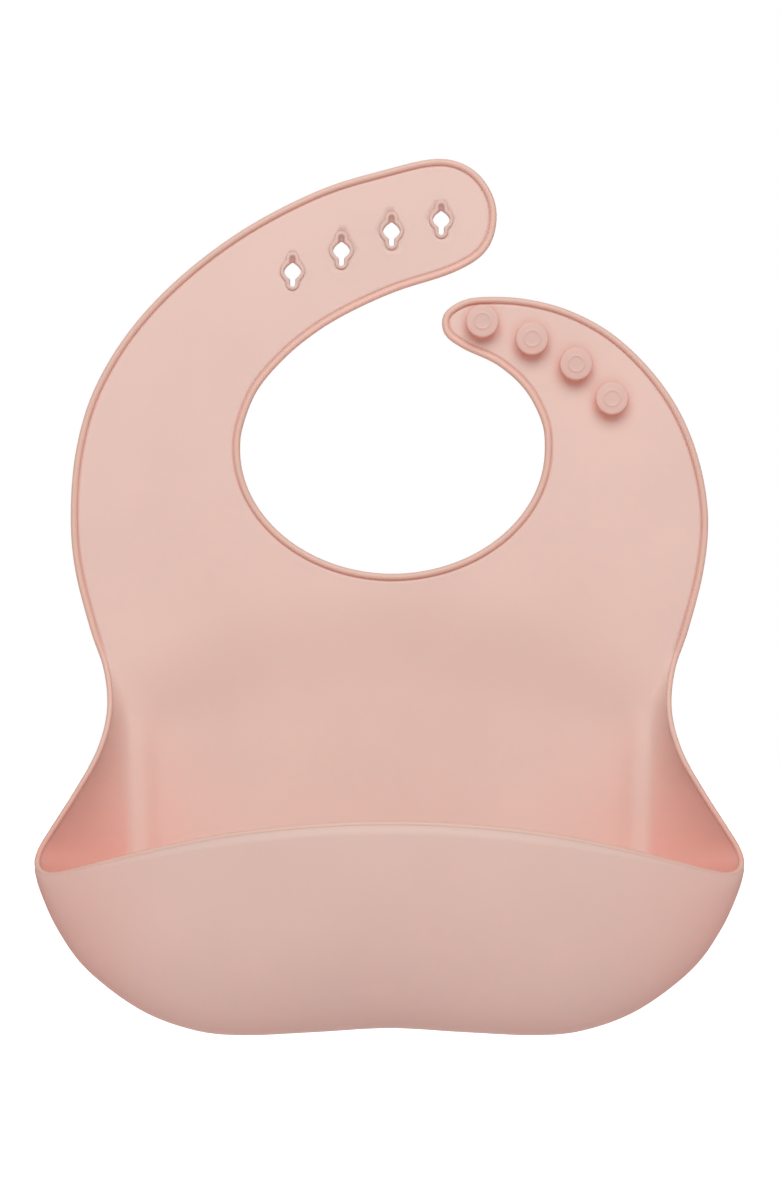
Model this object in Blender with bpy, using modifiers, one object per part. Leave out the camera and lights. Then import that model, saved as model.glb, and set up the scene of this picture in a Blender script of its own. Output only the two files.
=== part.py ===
"""Silicone baby bib with a catch-all pocket and a stud-and-hole neck strap.

The bib stands upright as it is worn: +X is to the right as seen from the front, +Z is up
and the front faces -Y. The origin is the centre of the neck opening on the back plane.
Outlines are lists of (x, z) in millimetres and go clockwise as seen from the front, so that
the silicone is always on their right-hand side. Depth is measured forward from the back
plane, also in millimetres.
"""

import math

import bmesh
import bpy
import numpy as np
from mathutils import Matrix, Vector

MM = 0.001

# Sections
SHEET = 1.6  # thickness of the flat sheet
WALL = 1.8  # thickness of the pocket's floor and front
BEAD = 2.6  # diameter of the bead round the edge, flush with the back
RIM = 2.4  # diameter of the pocket's rim
GAP = 0.3  # between neighbouring mouldings
SEAM = 0.8  # between the middles of two walls that meet at an angle

# Fold lines: a round nose on the moving side runs in a slightly larger hollow
NOSE = 1.9
HOLLOW = NOSE + GAP
FOLD_DEPTH = SHEET / 2
SHOULDER_Z = 0.0
WAIST_Z = -63.5

# Neck opening: the lower half is a superellipse
NECK_X = 1.0
NECK_HALF_WIDTH = 50.8
NECK_DROP = 41.3
NECK_POWER = 1.98

# Pocket
KEEL_DEPTH = 32.0  # where the back and the front of the pocket meet, all round its outline
MOUTH_DEPTH = 54.0  # the middle of the rim
MOUTH_POWER = 0.6  # the rim comes forward quickly beside the corners, then runs nearly flat
FLARE_TOP = -68.0  # the side edges leave the back plane below this height
FLARE_POWER = 1.3
DISH = 2.5  # the back wall sits this far behind the chest
DISH_TOP = -69.0
DISH_BOTTOM = -97.0
DISH_HALF_WIDTH = 90.0
TILT_TOP = -86.0  # below this height the back wall leans forward
TILT = 10.0
FLOOR_Z = -171.0  # lowest line of the flat back wall
CORNER_GAP = 1.2  # below the side edge's rim, before the floor starts
CORNER_COLUMNS = 3  # of the floor's columns, over which it turns from a side wall's section
LEAN_START = 0.35  # slope of a side wall beside the back wall, as a share of its mean slope
TUCK = 1.0  # the floor and the front overlap the keel by this much before they are trimmed

# Outlines
CORNER = (113.6, -135.2)
SIDE = (
    CORNER,
    (112.7, -130.0),
    (109.7, -124.2),
    (102.4, -111.8),
    (96.1, -99.3),
    (93.5, -86.5),
    (95.2, -73.4),
    (99.7, -60.1),
    (104.8, -40.1),
    (106.3, -22.0),
)
HOLE_STRAP = (
    (-104.6, -0.5),
    (-98.6, 19.9),
    (-86.6, 39.9),
    (-69.5, 58.0),
    (-48.0, 74.0),
    (-23.7, 86.5),
    (-2.3, 93.2),
    (16.0, 97.1),
    (27.5, 93.8),
    (34.4, 85.0),
    (35.6, 75.0),
    (31.6, 65.6),
    (21.0, 59.0),
    (2.7, 53.0),
    (-12.0, 46.5),
    (-23.7, 39.7),
    (-34.5, 31.0),
    (-44.0, 19.9),
    (-48.8, 8.0),
)
STUD_STRAP = (
    (50.9, 9.0),
    (45.3, 19.9),
    (36.0, 28.3),
    (24.5, 33.8),
    (18.4, 38.6),
    (18.0, 45.0),
    (23.4, 49.4),
    (31.0, 51.0),
    (45.0, 50.4),
    (60.0, 46.5),
    (74.5, 38.6),
    (87.3, 26.5),
    (97.0, 12.4),
    (103.4, -4.0),
)
BACK_WALL_SIDE = (
    (97.0, -60.0),
    (94.0, -67.0),
    (90.4, -76.0),
    (87.0, -84.0),
    (84.0, -98.0),
    (82.4, -112.0),
    (81.6, -126.0),
    (80.3, -141.0),
    (76.0, -154.5),
    (67.0, -165.0),
    (57.0, -169.6),
    (46.0, -171.0),
)
KEEL = (
    CORNER,
    (111.8, -142.7),
    (106.1, -155.3),
    (96.6, -168.3),
    (79.9, -180.9),
    (63.1, -187.4),
    (47.3, -189.2),
    (23.7, -188.2),
    (0.0, -186.9),
)
RIM_LINE = (
    CORNER,
    (109.0, -137.4),
    (101.6, -136.1),
    (88.8, -132.5),
    (71.1, -127.8),
    (49.3, -123.3),
    (24.7, -120.4),
    (0.0, -119.4),
)
WAIST_EDGE = (95.2, -73.4)  # on the side edge, just below the waist
WALL_TOP = (90.4, -76.0)  # on the back wall's side, where the side wall starts
WALL_CORNER = (80.3, -141.0)  # on the back wall's side, where the side wall ends
FLOOR_START = (46.0, FLOOR_Z)
FRONT_TOP_CORNER = (110.0, -137.3)  # on the rim's line, where the front wall starts
FRONT_LOW_CORNER = (111.4, -141.8)  # on the keel, where the front wall starts
RIM_START = (111.0, -137.0)

# Fastener
HOLES = ((-32.3, 59.5), (-16.0, 66.5), (0.7, 73.0), (17.3, 76.8))
HOLE_HALF = 3.1
HOLE_POWER = 1.9  # between a diamond, 1, and a circle, 2
LOBE_RADIUS = 0.42  # of the small lobes above and below, as a share of the half width
LOBE_REACH = 1.08  # of their middles from the hole's, as the same kind of share
LIP_HALF = 4.2
LIP_HEIGHT = 1.0
STUDS = ((30.8, 42.4), (47.3, 36.6), (61.9, 28.2), (73.8, 16.8))
STUD_PROFILE = (  # radius and height above the sheet, from the top down
    (0.0, 5.1),
    (4.3, 5.1),
    (5.1, 4.7),
    (5.35, 4.0),
    (5.35, 3.1),
    (5.0, 2.6),
    (2.6, 2.4),
    (2.6, GAP),
    (0.0, GAP),
)

# Folds across the two straps: a point on the line, and the direction of the strap's tip
HOLE_FOLD = ((-52.3, 48.9), (0.682, 0.731))
STUD_FOLD = ((54.6, 32.4), (-0.867, 0.499))
SHOULDER_FOLD = ((0.0, SHOULDER_Z), (0.0, 1.0))
WAIST_FOLD = ((0.0, WAIST_Z), (0.0, -1.0))
KEEL_FOLD = (0.0, -190.0)

SPAN_STEPS = 4  # points for each stretch between two outline points
REACH = 300.0  # how far the cutters go past the bib
PINK = (221, 183, 173)


def clear_scene():
    for obj in list(bpy.data.objects):
        bpy.data.objects.remove(obj, do_unlink=True)


def collection(name):
    made = bpy.data.collections.new(name)
    bpy.context.scene.collection.children.link(made)
    return made


def linear(level):
    share = level / 255
    return share / 12.92 if share <= 0.04045 else ((share + 0.055) / 1.055) ** 2.4


def silicone(name, colour, roughness=0.55):
    made = bpy.data.materials.new(name)
    made.use_nodes = True
    shader = made.node_tree.nodes["Principled BSDF"]
    shader.inputs["Base Color"].default_value = (*map(linear, colour), 1.0)
    shader.inputs["Roughness"].default_value = roughness
    shader.inputs["Metallic"].default_value = 0.0
    return made


# Outlines and paths


def smooth(points, steps=SPAN_STEPS):
    """A Catmull-Rom curve through the points."""
    knots = np.array(points, float)
    knots = np.vstack([2 * knots[0] - knots[1], knots, 2 * knots[-1] - knots[-2]])
    curve = []
    for a, b, c, d in zip(knots, knots[1:], knots[2:], knots[3:]):
        for t in np.arange(steps) / steps:
            cubic = (3 * b - a - 3 * c + d) * t**3
            square = (2 * a - 5 * b + 4 * c - d) * t**2
            curve.append((2 * b + (c - a) * t + square + cubic) / 2)
    curve.append(knots[-2])
    return np.array(curve)


def mirrored(points):
    return [(-x, z) for x, z in points]


def inset(path, distance):
    """The path moved to its right-hand side, into the silicone."""
    along = np.gradient(path, axis=0)
    along /= np.linalg.norm(along, axis=1)[:, None]
    return path + distance * np.stack([along[:, 1], -along[:, 0]], axis=1)


def even(path, count):
    """The same path with evenly spaced points."""
    steps = np.linalg.norm(np.diff(path, axis=0), axis=1)
    reach = np.concatenate([[0], np.cumsum(steps)])
    wanted = np.linspace(0, reach[-1], count)
    return np.stack([np.interp(wanted, reach, path[:, i]) for i in (0, 1)], axis=1)


def stretch(path, start, end):
    """The part of the path between its points nearest to two given ones."""
    first, last = (
        int(np.argmin(np.linalg.norm(path - np.array(point), axis=1)))
        for point in (start, end)
    )
    return path[first : last + 1]


def neck_arc(count=9):
    points = []
    for angle in np.linspace(math.pi, 0, count):
        across = math.copysign(abs(math.cos(angle)) ** (2 / NECK_POWER), math.cos(angle))
        down = abs(math.sin(angle)) ** (2 / NECK_POWER)
        points.append((NECK_X + NECK_HALF_WIDTH * across, -NECK_DROP * down))
    return points


def bib_edge():
    """The outer edge, from the pocket's left corner round both straps to its right corner."""
    return smooth([*mirrored(SIDE), *HOLE_STRAP, *neck_arc(), *STUD_STRAP, *SIDE[::-1]])


def edge_depth(z):
    """Depth of the middle of the side edge: flush at the waist, at the keel by the corner."""
    share = np.clip((FLARE_TOP - z) / (FLARE_TOP - CORNER[1]), 0, 1)
    return BEAD / 2 + (KEEL_DEPTH - BEAD / 2) * share**FLARE_POWER


def rim_depth(x):
    share = np.clip(1 - (x / CORNER[0]) ** 2, 0, 1)
    return KEEL_DEPTH + (MOUTH_DEPTH - KEEL_DEPTH) * share**MOUTH_POWER


def dish_depth(x, z):
    """Depth of the middle of the back wall: it sinks below the waist, then leans forward."""
    down = np.clip((DISH_TOP - z) / (DISH_TOP - DISH_BOTTOM), 0, 1)
    across = 1 - np.clip(abs(x) / DISH_HALF_WIDTH, 0, 1) ** 4
    forward = TILT * np.clip((TILT_TOP - z) / (TILT_TOP - FLOOR_Z), 0, 1) ** 2
    return SHEET / 2 + forward - DISH * across * down**2 * (3 - 2 * down)


# Objects


def add_mesh(name, vertices, faces, edges=()):
    mesh = bpy.data.meshes.new(name)
    mesh.from_pydata([Vector(v) * MM for v in vertices], edges, faces)
    return bpy.data.objects.new(name, mesh)


def as_mesh(curve_object, home):
    """A curve made a mesh, with its caps welded on, so that Booleans can use it."""
    home.objects.link(curve_object)
    bpy.context.view_layer.update()
    graph = bpy.context.evaluated_depsgraph_get()
    mesh = bpy.data.meshes.new_from_object(curve_object.evaluated_get(graph))
    name, place = curve_object.name, curve_object.matrix_world.copy()
    bpy.data.objects.remove(curve_object, do_unlink=True)
    body = bmesh.new()
    body.from_mesh(mesh)
    bmesh.ops.remove_doubles(body, verts=body.verts, dist=0.001 * MM)
    bmesh.ops.recalc_face_normals(body, faces=body.faces)
    body.to_mesh(mesh)
    body.free()
    made = bpy.data.objects.new(name, mesh)
    made.matrix_world = place
    home.objects.link(made)
    return made


def plate(name, outlines, back, front, home):
    """A flat piece between two depths; any outline after the first is a hole in it."""
    curve = bpy.data.curves.new(name, "CURVE")
    curve.dimensions = "2D"
    curve.fill_mode = "BOTH"
    curve.extrude = (front - back) / 2 * MM
    for outline in outlines:
        spline = curve.splines.new("POLY")
        spline.points.add(len(outline) - 1)
        for point, (x, z) in zip(spline.points, outline):
            point.co = (x * MM, z * MM, 0, 1)
        spline.use_cyclic_u = True
    made = bpy.data.objects.new(name, curve)
    made.location = (0, -(back + front) / 2 * MM, 0)
    made.rotation_euler = (math.radians(90), 0, 0)
    return as_mesh(made, home)


def rod(name, path, depths, diameter, home):
    """A round bead along an (x, z) path at the given depths."""
    curve = bpy.data.curves.new(name, "CURVE")
    curve.dimensions = "3D"
    curve.bevel_depth = diameter / 2 * MM
    curve.bevel_resolution = 2
    curve.use_fill_caps = True
    spline = curve.splines.new("POLY")
    spline.points.add(len(path) - 1)
    for point, (x, z), depth in zip(spline.points, path, depths):
        point.co = (x * MM, -depth * MM, z * MM, 1)
    return as_mesh(bpy.data.objects.new(name, curve), home)


def shell(name, rows, thickness, home):
    """A wall of even thickness round a grid of (x, depth, z) points on its middle surface."""
    across = len(rows[0])
    vertices = [(x, -depth, z) for row in rows for x, depth, z in row]
    faces = [
        (i * across + j, i * across + j + 1, (i + 1) * across + j + 1, (i + 1) * across + j)
        for i in range(len(rows) - 1)
        for j in range(across - 1)
    ]
    made = add_mesh(name, vertices, faces)
    home.objects.link(made)
    solidify = made.modifiers.new("Thickness", "SOLIDIFY")
    solidify.thickness = thickness * MM
    solidify.offset = 0
    solidify.use_even_offset = True
    return made


def cut(piece, cutter, operation="DIFFERENCE"):
    modifier = piece.modifiers.new(cutter.name, "BOOLEAN")
    modifier.operation = operation
    modifier.solver = "EXACT"
    modifier.object = cutter


def finish(piece, hinge, colour=PINK):
    """Gives the piece its material and hangs it on the hinge that moves it."""
    piece.data.materials.clear()
    piece.data.materials.append(silicone(piece.name, colour))
    piece.data.shade_smooth()
    piece.data.set_sharp_from_angle(angle=math.radians(40))
    if hinge:
        piece.parent = hinge
        piece.matrix_parent_inverse = Matrix.Translation(-hinge_place(hinge))


# Fold lines and their cutters


def hinge_place(hinge):
    place = Vector((0, 0, 0))
    while hinge:
        place += hinge.location
        hinge = hinge.parent
    return place


def add_hinge(name, point, depth, parent, home):
    """An empty on a fold line. It carries the pieces that move with the fold."""
    hinge = bpy.data.objects.new(name, None)
    hinge.empty_display_size = 10 * MM
    home.objects.link(hinge)
    place = Vector((point[0], -depth, point[1])) * MM
    hinge.location = place - hinge_place(parent)
    hinge.parent = parent
    return hinge


def as_cutter(piece):
    piece.hide_render = True
    piece.display_type = "WIRE"
    return piece


def beyond(name, fold, radius, home):
    """Everything past a fold line, with a round nose of the given radius before it."""
    (x, z), (along_x, along_z) = fold
    arc = [
        (radius * math.cos(angle), radius * math.sin(angle))
        for angle in np.linspace(-math.pi / 2, -3 * math.pi / 2, 17)
    ]
    outline = [(0, -REACH), *arc, (0, REACH), (REACH, REACH), (REACH, -REACH)]
    cutter = plate(name, [outline], -REACH, REACH, home)
    along = Vector((along_x, 0, along_z)).normalized()
    across = Vector((0, 1, 0))
    turn = Matrix((along, across, along.cross(across))).transposed().to_4x4()
    cutter.matrix_world = Matrix.Translation(Vector((x, -FOLD_DEPTH, z)) * MM) @ turn
    return as_cutter(cutter)


def depth_side(name, depth, forward, home):
    """A block filling everything in front of a depth, or everything behind it."""
    back, front = (depth, REACH) if forward else (-REACH, depth)
    square = [(-REACH, -REACH), (-REACH, REACH), (REACH, REACH), (REACH, -REACH)]
    return as_cutter(plate(name, [square], back, front, home))


class Fold:
    """The pair of cutters of one fold line."""

    def __init__(self, name, fold, home):
        self.nose = beyond(name + "_nose", fold, NOSE, home)
        self.hollow = beyond(name + "_hollow", fold, HOLLOW, home)

    def keep_beyond(self, piece):
        cut(piece, self.nose, "INTERSECT")

    def keep_before(self, piece):
        cut(piece, self.hollow)


def keyhole(centre, half_width, count=24):
    """A rounded diamond with a small lobe above and below it, for a stud to push through."""
    lobe = LOBE_RADIUS * half_width
    lobe_height = LOBE_REACH * half_width
    points = []
    for angle in np.linspace(0, 2 * math.pi, count, endpoint=False):
        c, s = math.cos(angle), abs(math.sin(angle))
        diamond = half_width / (abs(c) ** HOLE_POWER + s**HOLE_POWER) ** (1 / HOLE_POWER)
        inside = lobe**2 - (lobe_height * c) ** 2
        knob = lobe_height * s + math.sqrt(inside) if inside > 0 else 0
        radius = max(diamond, knob)
        points.append((centre[0] + radius * c, centre[1] + radius * math.sin(angle)))
    return points


# The flat sheet and its bead


def flat_plate(name, start, end, parts):
    """A panel of the sheet, inside the bead, whose outline is one stretch of the edge."""
    edge = inset(bib_edge(), BEAD + GAP)
    return plate(name, [stretch(edge, start, end)], 0, SHEET, parts)


def flat_bead(name, start, end, parts):
    path = stretch(bib_edge(), start, end)
    middle = inset(path, BEAD / 2)
    return rod(name, middle, edge_depth(middle[:, 1]), BEAD, parts)


def add_chest(folds, parts):
    edge = inset(bib_edge(), BEAD + GAP)
    left = stretch(edge, (-WAIST_EDGE[0], WAIST_EDGE[1]), (-92.0, 32.0))
    neck = stretch(edge, (-44.0, 19.9), (45.3, 19.9))
    right = stretch(edge, (92.0, 20.0), WAIST_EDGE)
    outline = np.vstack([left, neck, right])
    chest = plate("chest_panel", [outline], 0, SHEET, parts)
    folds["shoulder"].keep_before(chest)
    folds["waist"].keep_before(chest)
    finish(chest, None)

    neckline = flat_bead("neckline_bead", (-44.0, 19.9), (45.3, 19.9), parts)
    folds["shoulder"].keep_before(neckline)
    finish(neckline, None)
    for side, sign in (("left", -1), ("right", 1)):
        ends = [(sign * WAIST_EDGE[0], WAIST_EDGE[1]), (sign * 98.0, 18.0)]
        bead = flat_bead(f"chest_bead_{side}", *ends[::-sign], parts)
        folds["shoulder"].keep_before(bead)
        folds["waist"].keep_before(bead)
        finish(bead, None)


def add_hole_strap(folds, hinges, cutters, parts):
    ends = [(-106.3, -22.0), (-46.5, -13.0)]
    base = flat_plate("hole_strap_base", *ends, parts)
    folds["shoulder"].keep_beyond(base)
    folds["hole_strap"].keep_before(base)
    finish(base, hinges["hole_strap_base"])
    beads = (
        ("hole_strap_base_bead_outer", ends[0], (-48.0, 74.0)),
        ("hole_strap_base_bead_inner", (-12.0, 46.5), ends[1]),
    )
    for name, start, end in beads:
        bead = flat_bead(name, start, end, parts)
        folds["shoulder"].keep_beyond(bead)
        folds["hole_strap"].keep_before(bead)
        finish(bead, hinges["hole_strap_base"])

    tip = flat_plate("hole_strap_tip", *ends, parts)
    folds["hole_strap"].keep_beyond(tip)
    for number, centre in enumerate(HOLES, 1):
        hole = keyhole(centre, HOLE_HALF)
        cut(tip, as_cutter(plate(f"hole_{number}", [hole], -1, SHEET + 1, cutters)))
        lip_outlines = [keyhole(centre, LIP_HALF), hole]
        bottom = SHEET + GAP
        lip = plate(f"hole_lip_{number}", lip_outlines, bottom, bottom + LIP_HEIGHT, parts)
        finish(lip, hinges["hole_strap_tip"])
    finish(tip, hinges["hole_strap_tip"])
    bead = flat_bead("hole_strap_tip_bead", (-86.6, 39.9), (-44.0, 19.9), parts)
    folds["hole_strap"].keep_beyond(bead)
    finish(bead, hinges["hole_strap_tip"])


def add_stud(number, centre, hinge, parts):
    profile = [(radius, 0, height) for radius, height in STUD_PROFILE]
    edges = [(i, i + 1) for i in range(len(profile) - 1)]
    stud = add_mesh(f"stud_{number}", profile, (), edges)
    parts.objects.link(stud)
    stud.location = Vector((centre[0], -SHEET, centre[1])) * MM
    stud.rotation_euler = (math.radians(90), 0, 0)
    turn = stud.modifiers.new("Turn", "SCREW")
    turn.steps = 20
    turn.render_steps = 20
    turn.use_merge_vertices = True
    turn.merge_threshold = 0.00001
    finish(stud, hinge)


def add_stud_strap(folds, hinges, parts):
    ends = [(48.5, -13.0), (106.3, -22.0)]
    base = flat_plate("stud_strap_base", *ends, parts)
    folds["shoulder"].keep_beyond(base)
    folds["stud_strap"].keep_before(base)
    finish(base, hinges["stud_strap_base"])
    beads = (
        ("stud_strap_base_bead_inner", ends[0], (36.0, 28.3)),
        ("stud_strap_base_bead_outer", (45.0, 50.4), ends[1]),
    )
    for name, start, end in beads:
        bead = flat_bead(name, start, end, parts)
        folds["shoulder"].keep_beyond(bead)
        folds["stud_strap"].keep_before(bead)
        finish(bead, hinges["stud_strap_base"])

    tip = flat_plate("stud_strap_tip", *ends, parts)
    bead = flat_bead("stud_strap_tip_bead", (50.9, 9.0), (74.5, 38.6), parts)
    for piece in (tip, bead):
        folds["stud_strap"].keep_beyond(piece)
        finish(piece, hinges["stud_strap_tip"])
    carriers = ("stud_strap_tip", "stud_strap_tip", "stud_strap_base", "stud_strap_base")
    for number, (centre, carrier) in enumerate(zip(STUDS, carriers), 1):
        add_stud(number, centre, hinges[carrier], parts)


# The pocket


def add_back_wall(folds, hinge, parts):
    rows = []
    for half_width, z in smooth(BACK_WALL_SIDE, 2):
        xs = np.linspace(-half_width, half_width, 11)
        rows.append([(x, dish_depth(x, z), z) for x in xs])
    wall = shell("pocket_back_wall", rows, SHEET, parts)
    folds["waist"].keep_beyond(wall)
    finish(wall, hinge)


def lean(share):
    """How far forward a side wall has come, this far across it."""
    return LEAN_START * share + (1 - LEAN_START) * share**2


def side_wall_rows(count=13, across=5):
    """Right side wall, from the waist to the corner: it leans outwards and forwards."""
    band = smooth(BACK_WALL_SIDE)
    inner = even(stretch(band, WALL_TOP, WALL_CORNER), count)
    outer = even(stretch(smooth(SIDE), CORNER, WAIST_EDGE)[::-1], count)
    rows = []
    for start, end in zip(inner, outer):
        width = np.linalg.norm(end - start)
        depth = dish_depth(*start)
        rise = edge_depth(end[1]) - depth
        row = []
        for share in np.linspace(SEAM / width, 1 - (BEAD + GAP) / width, across):
            x, z = start + (end - start) * share
            row.append((x, depth + rise * lean(share), z))
        rows.append(row)
    return rows


def add_side_walls(hinge, parts):
    rows = side_wall_rows()
    for side, sign in (("left", -1), ("right", 1)):
        turned = [[(sign * x, depth, z) for x, depth, z in row][::sign] for row in rows]
        wall = shell(f"pocket_side_wall_{side}", turned, SHEET, parts)
        finish(wall, hinge, (217, 158, 143))


def quarter(count):
    """Angles of a rounding, from its flat end to its steep end."""
    return np.linspace(0, math.pi / 2, count)


def add_floor(halves, hinge, parts, count=16):
    """The bottom of the pocket, curling forward from the back wall to the keel."""
    inner_half = stretch(smooth(BACK_WALL_SIDE), WALL_CORNER, FLOOR_START)
    inner_half = np.vstack([inner_half, [(0.0, FLOOR_Z)]])
    inner = even(inner_half, count)
    outer = even(inset(smooth(KEEL), WALL / 2), count)
    for path in (inner, outer):
        path[0, 1] -= CORNER_GAP
    rows = []
    for index, (start, end) in enumerate(zip(inner, outer)):
        roundness = min(1, index / CORNER_COLUMNS)
        depth = dish_depth(*start)
        width = np.linalg.norm(end - start)
        row = []
        for angle in quarter(6):
            share = SEAM / width + (1 - SEAM / width) * math.sin(angle)
            rounded = 1 - math.cos(angle)
            rise = roundness * rounded + (1 - roundness) * lean(share)
            x, z = start + (end - start) * share
            row.append((x, depth + (KEEL_DEPTH - depth) * rise, z))
        x, _, z = row[-1]
        row.append((x, KEEL_DEPTH + TUCK, z))
        rows.append(row)
    mirror = [[(-x, depth, z) for x, depth, z in row] for row in rows]
    floor = shell("pocket_floor", mirror + rows[-2::-1], WALL, parts)
    cut(floor, halves["back"], "INTERSECT")
    finish(floor, hinge, (211, 142, 126))


def add_front_wall(halves, hinge, parts, count=14):
    """The bulging front: deepest at the rim, rounding under to the keel."""
    rim = even(stretch(smooth(RIM_LINE), FRONT_TOP_CORNER, RIM_LINE[-1]), count)
    rim[:, 1] -= RIM / 2 + SEAM
    keel = inset(smooth(KEEL), WALL / 2)
    keel = even(stretch(keel, FRONT_LOW_CORNER, keel[-1]), count)
    rows = []
    for top, bottom in zip(rim, keel):
        bulge = rim_depth(top[0]) - KEEL_DEPTH
        row = []
        for angle in quarter(8):
            x, z = top + (bottom - top) * math.sin(angle)
            row.append((x, KEEL_DEPTH + bulge * math.cos(angle), z))
        x, _, z = row[-1]
        row.append((x, KEEL_DEPTH - TUCK, z))
        rows.append(row)
    mirror = [[(-x, depth, z) for x, depth, z in row] for row in rows]
    front = shell("pocket_front_wall", mirror + rows[-2::-1], WALL, parts)
    cut(front, halves["front"], "INTERSECT")
    finish(front, hinge)

    half = stretch(smooth(RIM_LINE), RIM_START, RIM_LINE[-1])
    line = np.vstack([half * (-1, 1), half[-2::-1]])
    rim_rod = rod("pocket_rim", line, rim_depth(line[:, 0]), RIM, parts)
    cut(rim_rod, halves["front"], "INTERSECT")
    finish(rim_rod, hinge)


def add_side_rims(folds, halves, hinge, parts):
    for side, sign in (("left", -1), ("right", 1)):
        ends = [(sign * CORNER[0], CORNER[1]), (sign * 99.7, -60.1)]
        rim = flat_bead(f"pocket_side_rim_{side}", *ends[::-sign], parts)
        folds["waist"].keep_beyond(rim)
        cut(rim, halves["back"], "INTERSECT")
        finish(rim, hinge)


def main():
    clear_scene()
    parts = collection("silicone_bib")
    cutters = collection("cutters")
    folds = {
        "shoulder": Fold("shoulder_fold", SHOULDER_FOLD, cutters),
        "waist": Fold("waist_fold", WAIST_FOLD, cutters),
        "hole_strap": Fold("hole_strap_fold", HOLE_FOLD, cutters),
        "stud_strap": Fold("stud_strap_fold", STUD_FOLD, cutters),
    }
    halves = {
        "back": depth_side("behind_keel", KEEL_DEPTH - GAP / 2, False, cutters),
        "front": depth_side("before_keel", KEEL_DEPTH + GAP / 2, True, cutters),
    }
    hinges = {}
    for name, point, depth, parent in (
        ("hole_strap_base", (-77.0, SHOULDER_Z), FOLD_DEPTH, None),
        ("hole_strap_tip", HOLE_FOLD[0], FOLD_DEPTH, "hole_strap_base"),
        ("stud_strap_base", (77.5, SHOULDER_Z), FOLD_DEPTH, None),
        ("stud_strap_tip", STUD_FOLD[0], FOLD_DEPTH, "stud_strap_base"),
        ("pocket", WAIST_FOLD[0], FOLD_DEPTH, None),
        ("pocket_front", KEEL_FOLD, KEEL_DEPTH, "pocket"),
    ):
        hinges[name] = add_hinge(name + "_hinge", point, depth, hinges.get(parent), parts)
    add_chest(folds, parts)
    add_hole_strap(folds, hinges, cutters, parts)
    add_stud_strap(folds, hinges, parts)
    add_back_wall(folds, hinges["pocket"], parts)
    add_side_walls(hinges["pocket"], parts)
    add_floor(halves, hinges["pocket"], parts)
    add_side_rims(folds, halves, hinges["pocket"], parts)
    add_front_wall(halves, hinges["pocket_front"], parts)


main()
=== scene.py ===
"""Looks of the silicone bib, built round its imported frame.

The surface is laid out in millimetres as (x, depth, z), depth measured forward from the back
plane, and turned into metres when an object is made. The bib is one moulded sheet, so its
middle surface is built whole, thickened, and only then split where no fold reaches.
"""

import math

import bmesh
import bpy
import numpy as np
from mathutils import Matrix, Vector
from mathutils.geometry import delaunay_2d_cdt


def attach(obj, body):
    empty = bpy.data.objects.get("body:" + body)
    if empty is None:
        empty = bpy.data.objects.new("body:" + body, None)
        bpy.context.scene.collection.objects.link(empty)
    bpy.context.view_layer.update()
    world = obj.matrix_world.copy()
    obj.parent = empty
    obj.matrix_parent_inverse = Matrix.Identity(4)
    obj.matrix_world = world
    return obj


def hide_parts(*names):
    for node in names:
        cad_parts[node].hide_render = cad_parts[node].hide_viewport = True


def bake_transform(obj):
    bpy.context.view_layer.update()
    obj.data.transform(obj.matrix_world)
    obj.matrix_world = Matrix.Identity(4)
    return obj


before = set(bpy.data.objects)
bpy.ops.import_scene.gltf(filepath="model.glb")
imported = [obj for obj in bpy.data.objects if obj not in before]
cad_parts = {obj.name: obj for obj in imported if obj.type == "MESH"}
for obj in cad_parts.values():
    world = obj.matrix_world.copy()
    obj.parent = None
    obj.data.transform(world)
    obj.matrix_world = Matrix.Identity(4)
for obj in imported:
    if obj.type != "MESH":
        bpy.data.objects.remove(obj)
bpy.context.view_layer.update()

MM = 0.001

# Sheet
HALF_SHEET = 0.8
BEAD = 1.15  # radius of the bead round the straps, the chest and the neck
THIN_RIM = 0.95  # radius of the rounded edge of the side walls
POCKET_RIM = 0.86
BEAD_FADE = (-58.0, -84.0)  # heights between which the bead thins into the rim
BEAD_RISE = BEAD - HALF_SHEET  # the bead is flush with the back of the sheet
GROOVE_AT = 2.42
GROOVE_WIDTH = 0.36
GROOVE_DEEP = 0.34
GROOVE_SHARPNESS = 1.6
GROOVE_START = (-74.0, 12.0)  # height where it starts, and over how much it deepens
STEP = 1.7  # spacing of the columns along the edge
GRID = 2.4  # spacing of the points inside the sheet
FLAT_OFFSETS = (1.9, 2.12, 2.28, 2.42, 2.57, 2.74, 3.0, 3.4, 4.0, 4.8, 5.6)

# Pocket
SIDE_TOP = -75.0  # above this the side wall is part of the strip round the chest
KEEL_DEPTH = 32.0
MOUTH_DEPTH = 54.0
FLARE_TOP = -68.0
FLARE_POWER = 1.3
WALL_POWER = 2.0
MOUTH_POWER = 0.6  # the rim comes forward quickly beside the corners, then runs nearly flat
WALL_START = 0.35  # share of the side wall's rise that is an even slope from the band
CORNER = (113.6, -135.2)
CORNER_X, CORNER_Z = CORNER
FLOOR_Z = -171.0
DISH = 2.5
TILT_TOP = -86.0  # below this height the back wall leans forward
TILT = 10.0
DISH_EDGE = (2.2, 11.0)  # the step from the terrace to the sunken panel
ARCH_TOP = -45.0
ARCH_DROP = 22.0  # how much lower the arch ends at the sides
ARCH_HALF = 88.0
ARCH_SOFT = 36.0
BAND_OFFSETS = (0.0, 1.2, 2.4, 3.2, 3.8, 4.4, 5.0, 5.6, 6.2, 7.0, 8.0, 9.6)
WALL_ROWS = 30
COLUMN = 1.6  # spacing of the columns round the pocket
STRIP_OPENS = 14.0  # above SIDE_TOP, over which the strip along the edge reaches its full width
KEEL_INSET = 0.9  # of the keel's middle surface from its outline
CORNER_BLEND = 9  # columns over which the side wall's rows turn into the floor's
FLOOR_ROUND = 34.0  # length of keel over which the floor's section becomes round
CORNER_FADE = 0.6  # share of a column that moves along with the rounded corner
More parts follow.
